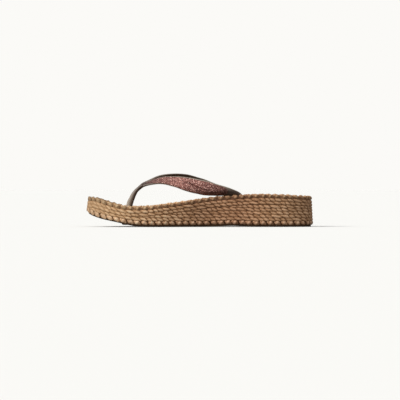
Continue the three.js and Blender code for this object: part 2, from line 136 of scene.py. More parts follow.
def through(points, t, closed=False):
    """Centripetal Catmull-Rom curve through the points. t runs from 0 to 1, evenly by point."""
    count = len(points)
    p = np.asarray(t, float) * (count if closed else count - 1)
    k = np.floor(p).astype(int)
    if closed:
        p0, p1, p2, p3 = (points[(k + i) % count] for i in (-1, 0, 1, 2))
    else:
        k = np.minimum(k, count - 2)
        padded = np.vstack([2 * points[0] - points[1], points, 2 * points[-1] - points[-2]])
        p0, p1, p2, p3 = (padded[k + i] for i in range(4))
    w = (p - k)[..., None]
    d0, d1, d2 = (np.sqrt(np.linalg.norm(b - a, axis=-1, keepdims=True))
                  for a, b in ((p0, p1), (p1, p2), (p2, p3)))
    m1 = d1 * ((p1 - p0) / d0 - (p2 - p0) / (d0 + d1) + (p2 - p1) / d1)
    m2 = d1 * ((p2 - p1) / d1 - (p3 - p1) / (d1 + d2) + (p3 - p2) / d2)
    return (p1 + m1 * w + (3 * (p2 - p1) - 2 * m1 - m2) * w ** 2
            + (2 * (p1 - p2) + m1 + m2) * w ** 3)


plan_points = np.array(
    [(SOLE_LENGTH / 2, 0)]
    + [((0.5 - along) * SOLE_LENGTH, outer) for along, _, outer in PLAN]
    + [(-SOLE_LENGTH / 2, -TOE_TIP_OFFSET)]
    + [((0.5 - along) * SOLE_LENGTH, -inner) for along, inner, _ in PLAN[::-1]])
plan_steps = np.linspace(0, 1, PLAN_STEPS + 1)
plan_line = through(plan_points, plan_steps, closed=True)
plan_middle = (plan_line.min(axis=0) + plan_line.max(axis=0)) / 2
plan_run = np.r_[0, np.cumsum(np.linalg.norm(np.diff(plan_line, axis=0), axis=1))]
PERIMETER = plan_run[-1]
toe_share = plan_run[PLAN_STEPS // 2] / PERIMETER


def outline(place):
    """Point and outward direction on the sole's plan. place runs from 0 at the heel over the outer
    side to 0.5 at the toe tip and on over the inner side to 1, evenly by length on each side."""
    place = np.mod(place, 1)
    share = np.where(place <= 0.5, place * 2 * toe_share, 1 - (1 - place) * 2 * (1 - toe_share))
    t = np.interp(share, plan_run / PERIMETER, plan_steps)
    step = 1e-4
    ahead = through(plan_points, np.mod(t + step, 1), True)
    tangent = ahead - through(plan_points, np.mod(t - step, 1), True)
    tangent /= np.linalg.norm(tangent, axis=-1, keepdims=True)
    outward = np.stack([tangent[..., 1], -tangent[..., 0]], axis=-1)
    return through(plan_points, t, True) - plan_middle, outward


def rim_height(x):
    """Height of the rim's crest over the floor."""
    return read_rows(RIM, 0.5 - x / SOLE_LENGTH)


def underside_lift(x):
    """Height of the underside over the floor: the arch, and the spring of the toe."""
    return read_rows(LIFT, 0.5 - x / SOLE_LENGTH)


def wall_point(place, out, up):
    """Point of the side wall: out from the plan's line, drawn in with height by the wall's flare,
    which is greater at the tip of the toe, and up from the underside."""
    place, out, up = np.broadcast_arrays(place, out, up)
    at, outward = outline(place)
    flare = WALL_FLARE + TOE_FLARE * np.exp(-((np.mod(place, 1) - 0.5) / TOE_FLARE_SHARE) ** 2)
    flat = at + outward * (out - flare * up)[..., None]
    return np.concatenate([flat, (underside_lift(at[..., 0]) + up)[..., None]], axis=-1)


def put_mesh(name, points, quads, triangles=()):
    """A smooth mesh object from arrays of points in millimetres and of four- and three-sided faces."""
    quads = np.asarray(quads, int).reshape(-1, 4)
    triangles = np.asarray(triangles, int).reshape(-1, 3)
    corners = np.concatenate([quads.ravel(), triangles.ravel()])
    sizes = np.concatenate([np.full(len(quads), 4), np.full(len(triangles), 3)])
    mesh = bpy.data.meshes.new(name)
    mesh.vertices.add(len(points))
    mesh.vertices.foreach_set("co", (np.asarray(points, float) * MM).ravel())
    mesh.loops.add(len(corners))
    mesh.loops.foreach_set("vertex_index", corners)
    mesh.polygons.add(len(sizes))
    mesh.polygons.foreach_set("loop_start", np.concatenate([[0], np.cumsum(sizes)[:-1]]))
    mesh.update(calc_edges=True)
    mesh.shade_smooth()
    obj = bpy.data.objects.new(name, mesh)
    bpy.context.scene.collection.objects.link(obj)
    return obj


def grid_faces(rows, columns, wrap=True):
    """Four-sided faces of a grid stored row by row, closed from the last column to the first."""
    last = columns if wrap else columns - 1
    row, column = np.meshgrid(np.arange(rows - 1), np.arange(last), indexing="ij")
    here, beside = row * columns + column, row * columns + (column + 1) % columns
    return np.stack([here, beside, beside + columns, here + columns], axis=-1).reshape(-1, 4)


def ring_faces(count, size):
    """Faces of a closed tube of rings. Both ends are closed straight across, from one half of the
    ring to the other."""
    k = np.arange(size // 2 - 1)
    start = np.stack([k, size - 1 - k, size - 2 - k, k + 1], axis=-1)
    end = start[:, ::-1] + (count - 1) * size
    return np.vstack([grid_faces(count, size), start, end])


def closed_rings(name, rings):
    """A closed mesh from rings of points along a path, each counterclockwise seen against its travel."""
    return put_mesh(name, rings.reshape(-1, 3), ring_faces(*rings.shape[:2]))


def linear(colour):
    """An sRGB hex colour as a linear one with alpha."""
    value = np.array([int(colour[i:i + 2], 16) for i in (1, 3, 5)]) / 255
    value = np.where(value <= 0.04045, value / 12.92, ((value + 0.055) / 1.055) ** 2.4)
    return (*value, 1.0)


def add(tree, kind, inputs=None, **settings):
    """A node with its settings. An input is a value, or the output socket that feeds it."""
    made = tree.nodes.new("ShaderNode" + kind)
    for key, value in settings.items():
        setattr(made, key, value)
    for key, value in (inputs or {}).items():
        if isinstance(value, bpy.types.NodeSocket):
            tree.links.new(value, made.inputs[key])
        else:
            made.inputs[key].default_value = value
    return made


def new_material(name):
    """An empty material with its output, its shader and its object coordinates."""
    material = bpy.data.materials.new(name)
    material.use_nodes = True
    tree = material.node_tree
    tree.nodes.clear()
    shader = add(tree, "BsdfPrincipled")
    add(tree, "OutputMaterial", {"Surface": shader.outputs["BSDF"]})
    place = add(tree, "TexCoord").outputs["Object"]
    return material, tree, shader, place


def ramp(tree, factor, stops):
    """A colour ramp with its stops given as position and hex colour."""
    made = add(tree, "ValToRGB", {"Fac": factor})
    elements = made.color_ramp.elements
    while len(elements) < len(stops):
        elements.new(1)
    for element, (position, colour) in zip(elements, stops):
        element.position = position
        element.color = linear(colour)
    return made.outputs["Color"]


post_x = -SOLE_LENGTH / 2 - plan_middle[0] + POST_SETBACK
post_y = -POST_OFFSET - plan_middle[1]


def foot_grid(rungs, steps, out):
    """Flat grid over the plan: rungs from heel to toe, each running from the inner to the outer side."""
    place = (np.arange(rungs) + 0.5) / rungs / 2
    inner, outer = wall_point(1 - place, out, 0), wall_point(place, out, 0)
    share = np.linspace(0, 1, steps)[None, :, None]
    return inner[:, None, :2] * (1 - share) + outer[:, None, :2] * share


tread_plan = foot_grid(TREAD_RUNGS, TREAD_STEPS, -TREAD_INSET)
tread_x, tread_y = tread_plan[..., 0], tread_plan[..., 1]
rib = 0.5 - 0.5 * np.cos(2 * np.pi * (tread_x + RIB_SWEEP * np.abs(tread_y)) / TREAD_RIB)
from_edge = np.minimum(np.arange(TREAD_STEPS), np.arange(TREAD_STEPS)[::-1])[None, :] / TREAD_EDGE_STEPS
tread_under = underside_lift(tread_x) + TREAD_RELIEF * rib ** 2 * np.clip(from_edge - 0.5, 0, 1)
tread_under = tread_under + TOE_TREAD_RISE * np.clip(underside_lift(tread_x) / TOE_RISE_LIFT, 0, 1)
from_post = np.hypot(tread_x - post_x, tread_y - post_y)
tread_under = np.where(from_post < PLUG_DIAMETER / 2 + PLUG_CLEARANCE, PLUG_RECESS + 0.3, tread_under)
tread_top = underside_lift(tread_x) + TREAD_THICKNESS
tread_rings = np.concatenate([
    np.dstack([tread_plan, tread_top]),
    np.dstack([tread_plan, tread_under])[:, ::-1]], axis=1)
tread = closed_rings("tread", tread_rings)

# Moulded foamed rubber, matte, blotched with dust, and darker than the wedge's rubber: painted shade.
tread_rubber, tree, shader, place = new_material("tread_rubber")
dust = add(tree, "TexNoise", {"Vector": place, "Scale": 90, "Detail": 6})
tint = ramp(tree, dust.outputs["Fac"], [(0.3, "#57412e"), (0.7, "#7b5f44")])
grit = add(tree, "TexNoise", {"Vector": place, "Scale": 2200, "Detail": 3})
relief = add(tree, "Bump", {"Height": grit.outputs["Fac"], "Strength": 0.4, "Distance": 0.0002})
tree.links.new(tint, shader.inputs["Base Color"])
tree.links.new(relief.outputs["Normal"], shader.inputs["Normal"])
shader.inputs["Roughness"].default_value = 0.85
tread.data.materials.append(tread_rubber)
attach(tread, "root")
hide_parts("sole")

# Wedge. The body of the sole, one moulding in foamed natural rubber, tan brown. Its side is cast as
# rows of braided rope: the lower rows lie over the underside and the upper two follow the rim, so
# rows end against them where the wedge grows thin. Both edges have a channel for thick stitches.
TREAD_HEIGHT = 1.3
STITCH_BASE = 2
STITCH_HEIGHT = 5
STITCH_CHANNEL = 1.4
ROPE_PITCH = 3.55
ROPE_RELIEF = 1.25
ROPE_MEETING = 0.5
RIM_ROPES = 2
STRAND_PITCH = 7.5
STRAND_SLANT = 0.36
STRAND_TILT = 0.1
STRAND_TILT_SPREAD = 0.45
TOE_CALM_LEAST = 0.5
TOE_CALM_REACH = 0.07
WEDGE_FLOOR = 3.6
RIM_WIDTH = 5
FOOTBED_DROP = 1.6
FOOTBED_CUP = 2.2
INSOLE_THICKNESS = 3
WALL_COLUMNS = 1180
LOWER_STEPS = 44
RIM_STEPS = 17


def chance(*numbers):
    """An even spread of values from 0 to 1 that look unordered, one for each set of whole numbers."""
    mixed = sum(number * factor for number, factor in zip(numbers, (12.9898, 78.233, 37.719)))
    return np.mod(np.sin(mixed) * 43758.5453, 1)


def rope_height(run, across, row):
    """Height of braided rope, 0 in a groove to 1 on a crest. run is the length along the rope, across
    runs from 0 to 1 over one rope, and row counts the ropes. Each strand is a lens with its long axis
    tipped a little down to the right, thick in its middle and thin at its ends, and it rises from the
    rope's own low roundness. Each row starts at its own place, the strands grow longer and shorter
    along it, and each strand has its own height and tilt."""
    count = np.round(PERIMETER / STRAND_PITCH)
    circle = 2 * np.pi * run / PERIMETER
    stretch = 0.35 * np.sin(9 * circle + 2.1 * row) + 0.1 * np.sin(23 * circle + 4.7 * row)
    turn = run / PERIMETER * count + STRAND_SLANT * (across - 0.5) + chance(row, 3) + stretch
    strand = np.floor(turn)
    own = chance(np.mod(strand, count), row)
    along = 2 * (turn - strand) - 1
    tilted = 2 * across - 1 + (STRAND_TILT + STRAND_TILT_SPREAD * own) * along
    thick = 1.15 - 0.55 * along ** 2
    body = 0.28 + 0.72 * np.clip(1 - (tilted / thick) ** 2, 0, 1) ** 0.65
    ends = np.clip(1 - np.abs(along) ** 4, 0, 1) ** 0.7
    beside = 0.35 + 0.65 * np.clip(1 - np.abs(2 * across - 1) ** 9, 0, 1) ** 0.5
    lens = body * ends * (0.7 + 0.3 * chance(strand % count, row + 40))
    return np.clip(0.1 + beside * 0.9 * lens, 0, 1)


def toe_calm(place, least, reach):
    """1 along the sides, falling to the least value round the toe, where the cast is flatter. reach is
    the share of the way round over which it is so, on each side of the tip."""
    return 1 - (1 - least) * np.exp(-((np.mod(place, 1) - 0.5) / reach) ** 4)


place = np.arange(WALL_COLUMNS)[None, :] / WALL_COLUMNS
plan_x = outline(place)[0][..., 0]
full = rim_height(plan_x) - underside_lift(plan_x)
bead_top = TREAD_HEIGHT + STITCH_HEIGHT
rim_depth = STITCH_HEIGHT + RIM_ROPES * ROPE_PITCH
recess = FOOTBED_DROP + FOOTBED_CUP + INSOLE_THICKNESS
run = place * PERIMETER

lower_share = np.linspace(0, 1, LOWER_STEPS)[:, None]
lower_up = bead_top + lower_share * (full - rim_depth - bead_top)
lower_turn = (lower_up - bead_top) / ROPE_PITCH
lower_rope = rope_height(run, lower_turn % 1, np.floor(lower_turn))
meeting = np.clip((full - rim_depth - lower_up) / ROPE_MEETING, 0, 1)
lower_rope = lower_rope * meeting ** 0.5

rim_share = np.linspace(0, 1, RIM_STEPS)[:, None]
rim_turn = rim_share * RIM_ROPES * 0.998 + 0.001
rim_up = full - rim_depth + rim_turn * ROPE_PITCH
rim_rope = rope_height(run, rim_turn % 1, np.floor(rim_turn) + 8)

profile_out = [-TREAD_INSET - 0.1, -TREAD_INSET - 0.1, -STITCH_CHANNEL, -STITCH_CHANNEL]
profile_up = [WEDGE_FLOOR, STITCH_BASE - 0.2, STITCH_BASE, bead_top - 0.2]
crest_out = [-STITCH_CHANNEL, -STITCH_CHANNEL, -3.2, -RIM_WIDTH + 0.5, -RIM_WIDTH, -RIM_WIDTH]
crest_down = [STITCH_HEIGHT - 0.2, 2.6, 2.2, 1.6, 1.4, recess]
crest_relief = [0.1, 0, 0, 0.2, 0.45, 0.45]
one = np.ones_like(place)
rope_depth = ROPE_RELIEF * toe_calm(place, TOE_CALM_LEAST, TOE_CALM_REACH)
wall_out = np.vstack([
    *(out * one for out in profile_out),
    -rope_depth * (1 - lower_rope), -rope_depth * (1 - rim_rope),
    *(out * one for out in crest_out)])
wall_up = np.vstack([
    *(up * one for up in profile_up), lower_up, rim_up * one, *(full - down for down in crest_down)])
# The relief also colours the wall: the stitch channels get low heights and so are coloured dark, as painted
# shade behind the stitches.
wall_relief = np.vstack([
    *(0.1 * one for _ in profile_out), lower_rope, rim_rope, *(height * one for height in crest_relief)])
wall = wall_point(place, wall_out, wall_up)
wall_rows = len(wall)
half = WALL_COLUMNS // 2
k = np.arange(1, half - 1)
lid = np.stack([k, k + 1, WALL_COLUMNS - k - 1, WALL_COLUMNS - k], axis=-1)
tips = np.array([(0, 1, WALL_COLUMNS - 1), (half - 1, half, half + 1)])
top = (wall_rows - 1) * WALL_COLUMNS
wedge = put_mesh(
    "wedge", wall.reshape(-1, 3),
    np.vstack([grid_faces(wall_rows, WALL_COLUMNS), lid + top, lid[:, ::-1]]),
    np.vstack([tips + top, tips[:, ::-1]]))


def paint_relief(obj, values):
    """Keeps a height from 0 to 1 on the mesh, by which the material paints shade into grooves and highlight
    onto crests.
    """
    layer = obj.data.attributes.new("relief", "FLOAT", "POINT")
    layer.data.foreach_set("value", np.ascontiguousarray(values, dtype=np.float32).ravel())


def unroll(obj, lengths, heights):
    """UV map of a grid that is wrapped sideways: length along and height, both in metres."""
    rows, columns = lengths.shape
    layer = obj.data.uv_layers.new(name="unrolled")
    corners = np.empty(len(obj.data.loops), dtype=np.int32)
    obj.data.loops.foreach_get("vertex_index", corners)
    u, v = lengths.ravel()[corners], heights.ravel()[corners]
    quads = u[:(rows - 1) * columns * 4].reshape(-1, 4)
    quads[quads < quads.max(axis=1, keepdims=True) - PERIMETER / 2] += PERIMETER
    layer.data.foreach_set("uv", (np.stack([u, v], axis=-1) * MM).astype(np.float32).ravel())


paint_relief(wedge, wall_relief)
unroll(wedge, run * np.ones_like(wall_up), wall_up)


def rope_rubber(name, dark, middle, crest, fibre_turn):
    """Foamed natural rubber cast from braided jute: matte, coloured darker in the grooves as painted
    shade and paler on the strands' crests as painted highlight, with the fibres' print along each strand."""
    material, tree, shader, place = new_material(name)
    height = add(tree, "Attribute", attribute_name="relief").outputs["Fac"]
    patch = add(tree, "TexNoise", {"Vector": place, "Scale": 160, "Detail": 4}).outputs["Fac"]
    mottle = add(tree, "Math", {0: patch, 1: 0.5, 2: -0.25}, operation="MULTIPLY_ADD").outputs["Value"]
    speck = add(tree, "TexNoise", {"Vector": place, "Scale": 480, "Detail": 2}).outputs["Fac"]
    speckle = add(tree, "Math", {0: speck, 1: 0.8, 2: -0.4}, operation="MULTIPLY_ADD").outputs["Value"]
    spotted = add(tree, "Math", {0: mottle, 1: speckle}, operation="ADD").outputs["Value"]
    level = add(tree, "Math", {0: height, 1: spotted}, operation="ADD").outputs["Value"]
    # At the toe the grooves are cast shallow, so the painted shade in them and the painted highlight on the
    # crests are partly evened towards a middle tone.
    forward = add(tree, "SeparateXYZ", {"Vector": place}).outputs["X"]
    even = add(tree, "MapRange", {"Value": forward, "From Min": -0.05, "From Max": -0.125, "To Max": 0.6})
    evened = add(tree, "Mix", {"Factor": even.outputs["Result"], "A": level, "B": 0.6}).outputs["Result"]
    tint = ramp(tree, evened, [(0.12, dark), (0.55, middle), (0.98, crest)])
    unrolled = add(tree, "UVMap", uv_map="unrolled").outputs["UV"] if fibre_turn else place
    # Jute fibres are about 0.05 mm; their print is drawn near 0.5 mm wide so that it shows.
    fibre_place = add(tree, "Mapping", {
        "Vector": unrolled, "Rotation": (0, 0, fibre_turn), "Scale": (250, 1900, 900)}).outputs["Vector"]
    fibre = add(tree, "TexNoise", {"Vector": fibre_place, "Scale": 1, "Detail": 3}).outputs["Fac"]
    shade = add(tree, "Math", {0: fibre, 1: 0.7, 2: 0.65}, operation="MULTIPLY_ADD").outputs["Value"]
    shaded = add(tree, "VectorMath", {0: tint, "Scale": shade}, operation="SCALE").outputs["Vector"]
    # Painted light and shade along the foot: lighter from the ball to the toe, darker at the tip, darkest
    # where the arch bends, and a little lighter again at the heel.
    share = add(tree, "MapRange", {"Value": forward, "From Min": -0.127, "From Max": 0.127}).outputs["Result"]
    painted_light_along = ramp(tree, share, [
        (0, "#a9b0ae"), (0.13, "#d5dedd"), (0.25, "#d0d5d4"), (0.35, "#d7d8d5"), (0.5, "#b5afab"),
        (0.67, "#aaa09a"), (0.85, "#bcbab6")])
    lit_along_foot = add(tree, "VectorMath", {0: shaded, 1: painted_light_along}, operation="MULTIPLY").outputs["Vector"]
    lifted = add(tree, "VectorMath", {0: lit_along_foot, "Scale": 2}, operation="SCALE").outputs["Vector"]
    mixed = add(tree, "VectorMath", {0: lifted, 1: (0.85, 0.85, 0.85)}, operation="MINIMUM").outputs["Vector"]
    relief = add(tree, "Bump", {"Height": fibre, "Strength": 0.55, "Distance": 0.0004})
    tree.links.new(mixed, shader.inputs["Base Color"])
    tree.links.new(relief.outputs["Normal"], shader.inputs["Normal"])
    shader.inputs["Roughness"].default_value = 0.72
    shader.inputs["Specular IOR Level"].default_value = 0.3
    return material


wedge.data.materials.append(rope_rubber("rope_rubber", "#68452b", "#ad815a", "#d8b08b", -0.3))
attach(wedge, "root")
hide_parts("sole")

# Stitches. Two beads of thick stitches, one over the rim and one along the floor, cast in the same
# rubber. Each stitch is a short fat twist of cord, slanted down to the heel on the inner side.
STITCH_PITCH = 8
STITCH_LEAN = 0.45
STITCH_ROUND = 18
STITCH_STEPS = 15
STITCH_END = 0.12
STITCH_UNEVEN = 0.05
STITCH_SHIFT = 0.12
PLY_COUNT = 3
PLY_WIND = 4.5
PLY_RELIEF = 0.09
TOE_STITCH_DROP = 0.4
TOE_STITCH_LEAST = 0.2
stitch_count = 2 * round(PERIMETER / STITCH_PITCH / 2)


def stitches(name, material, length, depth, height, point, calm_reach, out, up_at):
    """A bead of stitches: fat ellipsoids with blunt ends on a line round the sole. A place on one is
    set by b from end to end and a round the stitch; its plies are a slow wave that winds from end to
    end, and it is sheared so that its upper part leads. point is the power that draws in its ends."""
    number = np.arange(stitch_count)[:, None, None]
    centre_place = (number + 0.5 + STITCH_SHIFT * (chance(number, out) - 0.5)) / stitch_count
    b = np.linspace(STITCH_END, np.pi - STITCH_END, STITCH_STEPS)[None, :, None]
    a = (np.arange(STITCH_ROUND) * 2 * np.pi / STITCH_ROUND)[None, None, :]
    wobble = 2 * chance(number, out + 1) - 1
    ply = PLY_COUNT * a + PLY_WIND * np.cos(b)
    plies = 1 + PLY_RELIEF * np.cos(ply + 2 * wobble)
    girth = np.sin(b) ** point * plies * (1 + STITCH_UNEVEN * wobble)
    calm = toe_calm(centre_place, TOE_STITCH_LEAST, calm_reach)
    outward = depth / 2 * (calm * girth * np.cos(a) + 1 - calm)
    upward = girth * np.sin(a) * height / 2
    forward = -np.cos(b) * length / 2 * (1 + STITCH_UNEVEN * wobble) - STITCH_LEAN * upward
    at = centre_place + forward / PERIMETER
    up = up_at(outline(at)[0][..., 0]) + upward
    points = wall_point(at, out + outward + 0 * up, up)
    faces = ring_faces(STITCH_STEPS, STITCH_ROUND)
    many = faces[None] + (np.arange(stitch_count) * STITCH_STEPS * STITCH_ROUND)[:, None, None]
    obj = put_mesh(name, points.reshape(-1, 3), many.reshape(-1, 4)[:, ::-1])
    # Painted shade and highlight: each stitch is coloured dark at its ends and between its plies, and pale
    # along its middle.
    values = np.clip(0.1 + 0.87 * np.sin(b) ** 0.7 * (0.75 + 0.25 * np.cos(ply)), 0, 1)
    paint_relief(obj, np.broadcast_to(values, (stitch_count, STITCH_STEPS, STITCH_ROUND)))
    obj.data.materials.append(material)
    return obj


stitch_rubber = rope_rubber("stitch_rubber", "#64442e", "#b18561", "#e0ba99", 0)
stitches_lower = stitches(
    "stitches_lower", stitch_rubber,
    length=7.5, depth=5.0, height=5.1, point=0.7, calm_reach=0.105, out=-2.45,
    up_at=lambda x: (
        STITCH_BASE + STITCH_HEIGHT / 2 - TOE_STITCH_DROP * np.clip(underside_lift(x) / TOE_RISE_LIFT, 0, 1)))
# The rim's stitches are coloured as a darker copy of the same rubber: painted shade.
rim_rubber_painted_shade = rope_rubber("rim_rubber_painted_shade", "#452e1d", "#926e4d", "#c29f7b", 0)
stitches_rim = stitches(
    "stitches_rim", rim_rubber_painted_shade,
    length=6.7, depth=4.8, height=5.0, point=0.85, calm_reach=0.085, out=-2.5,
    up_at=lambda x: rim_height(x) - underside_lift(x) - STITCH_HEIGHT / 2 - 0.1)
for bead in (stitches_lower, stitches_rim):
    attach(bead, "root")
    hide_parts("sole")

# Footbed. A cupped sheet of softer brown rubber laid inside the rim. Its top is embossed with a fine
# basket weave, and a plain border runs round its edge.
FIT_GAP = 0.3
CUP_SQUARENESS = 2.5
WEAVE_PITCH = 4
WEAVE_RELIEF = 0.28
BED_RUNGS = 390
BED_STEPS = 120
BORDER_START = 0.3
bed_plan = foot_grid(BED_RUNGS, BED_STEPS, -RIM_WIDTH - FIT_GAP)
bed_x, bed_y = bed_plan[..., 0], bed_plan[..., 1]
sideways = 1 - np.abs(2 * np.linspace(0, 1, BED_STEPS)[None, :] - 1) ** CUP_SQUARENESS
endwise = np.sqrt(np.sin(np.pi * (np.arange(BED_RUNGS)[:, None] + 0.5) / BED_RUNGS))
bed_edge = rim_height(bed_x) - FOOTBED_DROP
bed_top = bed_edge - FOOTBED_CUP * sideways * endwise
warp, weft = bed_x / WEAVE_PITCH, bed_y / WEAVE_PITCH
over = np.abs(np.sin(np.pi * warp)) * (1 - np.abs(2 * (weft % 1) - 1) ** 3)
under = np.abs(np.sin(np.pi * weft)) * (1 - np.abs(2 * (warp % 1) - 1) ** 3)
woven = np.where((np.floor(warp) + np.floor(weft)) % 2 == 0, over, under)
inside = np.clip((sideways * endwise - BORDER_START) * 8, 0, 1)
bed_relief = woven * inside + 0.6 * (1 - inside)
bed_under = bed_edge.mean(axis=1, keepdims=True) - FOOTBED_CUP - INSOLE_THICKNESS + 0 * bed_x
bed_rings = np.concatenate([
    np.dstack([bed_plan, bed_top + WEAVE_RELIEF * (bed_relief - 1)]),
    np.dstack([bed_plan, bed_under])[:, ::-1]], axis=1)
footbed = closed_rings("footbed", bed_rings)
paint_relief(footbed, np.concatenate([bed_relief, 0 * bed_relief], axis=1))

footbed_rubber, tree, shader, place = new_material("footbed_rubber")
height = add(tree, "Attribute", attribute_name="relief").outputs["Fac"]
patch = add(tree, "TexNoise", {"Vector": place, "Scale": 45, "Detail": 5}).outputs["Fac"]
worn = add(tree, "Math", {0: patch, 1: 0.5, 2: -0.2}, operation="MULTIPLY_ADD").outputs["Value"]
level = add(tree, "Math", {0: height, 1: worn}, operation="ADD").outputs["Value"]
# The weave's low parts are coloured darker than its raised strands: painted shade.
tint = ramp(tree, level, [(0.1, "#4a3324"), (0.6, "#87684b"), (1.0, "#a98867")])
grain = add(tree, "TexNoise", {"Vector": place, "Scale": 1800, "Detail": 2}).outputs["Fac"]
relief = add(tree, "Bump", {"Height": grain, "Strength": 0.3, "Distance": 0.0002})
tree.links.new(tint, shader.inputs["Base Color"])
tree.links.new(relief.outputs["Normal"], shader.inputs["Normal"])
shader.inputs["Roughness"].default_value = 0.75
footbed.data.materials.append(footbed_rubber)
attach(footbed, "root")
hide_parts("insole")

# Strap. The upper, one moulding in taupe rubber: a plug under the sole, the toe post, the fork and
# the two arms, whose ends go down inside the rim. A low lip runs along each arm's upper edge.
POST_LENGTH = 6.8
POST_WIDTH = 4.6
INNER_END_SETBACK = 81.5
OUTER_END_SETBACK = 88
END_INSET = 6.6
END_LENGTH = 5.4
END_WIDTH = 3.4
END_DEPTH = 14
INSTEP_RISE = 28
ARM_WIDTH = 17
ARM_THICKNESS = 3
ARM_UNDERCUT = 0.4
LIP_RELIEF = 0.25
LIP_INSET = 0.8
LIP_WIDTH = 0.45
LIP_LEAST_HALF = 3
OVAL_ACROSS = 0.85
OVAL_LIFT = 0.6
# Painted shade on the strap: how much darker it is coloured as it faces back and down, and in bell curves
# round the fork and the inner arm's rear, with their reaches and places.
BACK_SHADE = 1.1
UNDER_SHADE = 1.3
FORK_SHADE = 0.95
FORK_SHADE_REACH = 15
FORK_SHADE_PLACE = 0.08
REAR_SHADE = 1.1
REAR_SHADE_REACH = 14
REAR_SHADE_PLACE = 0.78
PLUG_THICKNESS = 3
STRAP_VOXEL = 0.38
STRAP_SOFTENING = 0.5
STRAP_SOFTEN_TURNS = 6
END_SEARCH_STEPS = 2001
ARM_STEPS = 330
ARM_ROUND = 72
POST_STEPS = 90
POST_ROUND = 48
PLUG_ROUND = 64

# The post: back and up from its foot, then long and wide, as shares of the sizes above.
POST = np.array([
    (0, -0.3, 1, 1), (0.03, 0.1, 1.04, 1), (0.18, 0.25, 1.04, 1), (0.41, 0.386, 0.95, 1.02),
    (0.73, 0.557, 0.84, 1.12), (1.19, 0.725, 0.67, 1.4), (1.63, 0.836, 0.53, 1.7),
    (2.2, 0.935, 0.44, 1.9),
])
# The arms: reach back, out and up, then wide, thick, and the lean of the face in degrees.
INNER_ARM = np.array([
    (0.06, 0.02, 0.69, 0.25, 1.1, 14), (0.12, 0.06, 0.904, 0.34, 1.05, 24), (0.2, 0.17, 1.01, 0.47, 1, 36),
    (0.3, 0.37, 1.025, 0.635, 1, 47), (0.42, 0.66, 0.9, 0.84, 1, 58), (0.54, 0.92, 0.707, 0.97, 1, 68),
    (0.66, 1.08, 0.505, 0.96, 1, 77), (0.78, 1.12, 0.33, 0.76, 1, 84), (0.89, 1.07, 0.2, 0.53, 1.05, 88),
])
OUTER_ARM = np.array([
    (0.06, 0.01, 0.69, 0.25, 1.1, 10), (0.12, 0.035, 0.93, 0.34, 1.05, 15), (0.2, 0.12, 1.055, 0.49, 1, 24),
    (0.3, 0.28, 1.135, 0.65, 1, 32), (0.42, 0.5, 1.07, 0.84, 1, 44), (0.54, 0.71, 0.9, 0.97, 1, 57),
    (0.66, 0.87, 0.65, 0.96, 1, 69), (0.78, 0.96, 0.435, 0.76, 1, 79), (0.89, 1, 0.25, 0.53, 1.05, 87),
])

# The fold in the inner arm, by place along the foot: where its line crosses the face, from -1 at the
# lower edge to 1 at the upper one, then how steeply what is below is tucked in, and how deep the
# trough on the line is. The tuck reaches a few millimetres below the line and turns in softly.
FOLD_REACH = 11
FOLD_ROUND = 0.6
TROUGH_DEPTH = 1.1
TROUGH_REACH = 0.8
RIDGE_HEIGHT = 0.45
RIDGE_PLACE = 2.2
RIDGE_REACH = 1.4
FOLD = np.array([
    (-24, 0.3, 0, 0), (-14, 0.1, 0.15, 0.7), (-8, -0.06, 0.3, 1), (0, -0.3, 0.45, 1), (5.6, -0.4, 0.7, 0.7),
    (13.5, -0.42, 0.85, 0), (22.4, -0.15, 0.65, 0), (28, 0.2, 0.42, 0), (38, 0.3, 0.22, 0), (46, 0.4, 0, 0),
])


def footbed_middle(x):
    """Height of the footbed along the middle of its cup."""
    return rim_height(x) - FOOTBED_DROP - FOOTBED_CUP


def across_travel(travel, towards):
    """The unit direction nearest to towards that is square to travel."""
    level = towards - travel * (travel @ towards)[..., None]
    return level / np.linalg.norm(level, axis=-1, keepdims=True)


def spaced(rows):
    """The rows of a table, each with its even place from 0 to 1 put before it."""
    return np.column_stack([np.linspace(0, 1, len(rows)), rows])


def travel_along(points, share):
    """Unit direction of the curve at a share of the way along it."""
    step = 1e-4
    ahead, behind = np.minimum(share + step, 1), np.maximum(share - step, 0)
    travel = through(points, ahead) - through(points, behind)
    return travel / np.linalg.norm(travel, axis=-1, keepdims=True)


def post_stations(share):
    """Centres, directions and half sizes of the toe post, its long side along the foot."""
    foot = footbed_middle(post_x)
    points = np.column_stack([
        post_x + POST[:, 0] * POST_LENGTH, np.full(len(POST), post_y), foot + POST[:, 1] * INSTEP_RISE])
    travel = travel_along(points, share)
    wide = np.cross(np.array([0, 1.0, 0]), travel)
    wide /= np.linalg.norm(wide, axis=-1, keepdims=True)
    rows = spaced(POST)
    return (through(points, share), wide, np.cross(travel, wide),
            read_rows(rows, share, 3) * POST_LENGTH / 2, read_rows(rows, share, 4) * POST_WIDTH / 2)


